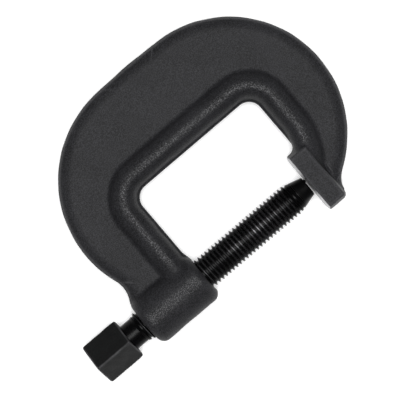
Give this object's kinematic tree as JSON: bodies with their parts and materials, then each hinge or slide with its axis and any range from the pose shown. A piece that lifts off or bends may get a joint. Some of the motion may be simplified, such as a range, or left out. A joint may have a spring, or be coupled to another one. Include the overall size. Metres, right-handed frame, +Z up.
{
  "type": "c clamp",
  "caption": "Drop-forged C-clamp with a rounded rib round its throat, a threaded boss, a flat anvil and a full-length screw with conical point and square drive head.",
  "frame": {"origin": "centre of the anvil face, on the screw's axis, in the parting plane of the forging", "axes": "+X along the screw from the drive head towards the anvil, +Y towards the back of the C, +Z up with the clamp lying on its side"},
  "size_m": [0.2063, 0.1355, 0.0308],
  "materials": {
    "forged_frame": "forged steel, dark oxide, fine grain",
    "oiled_screw": "black oxide, oiled, rolled thread",
    "oiled_head": "black oxide, as forged"
  },
  "bodies": {
    "frame_body": {"frame": "forged_frame"},
    "advance": {"screw_point": "oiled_screw"},
    "screw_body": {"screw": "oiled_screw", "drive_head": "oiled_head"}
  },
  "joints": [
    {"name": "screw_travel", "type": "slide", "parent": "frame_body", "child": "advance", "axis": [-1, 0, 0], "range_m": [0, 0.0762]},
    {"name": "screw_turn", "type": "hinge", "parent": "advance", "child": "screw_body", "pos_m": [0, 0, 0], "axis": [-1, 0, 0], "range_deg": [0, 10800]}
  ],
  "couplings": [
    {"joint": "screw_turn", "follows": "screw_travel", "rad_per_m": 2473.7}
  ]
}
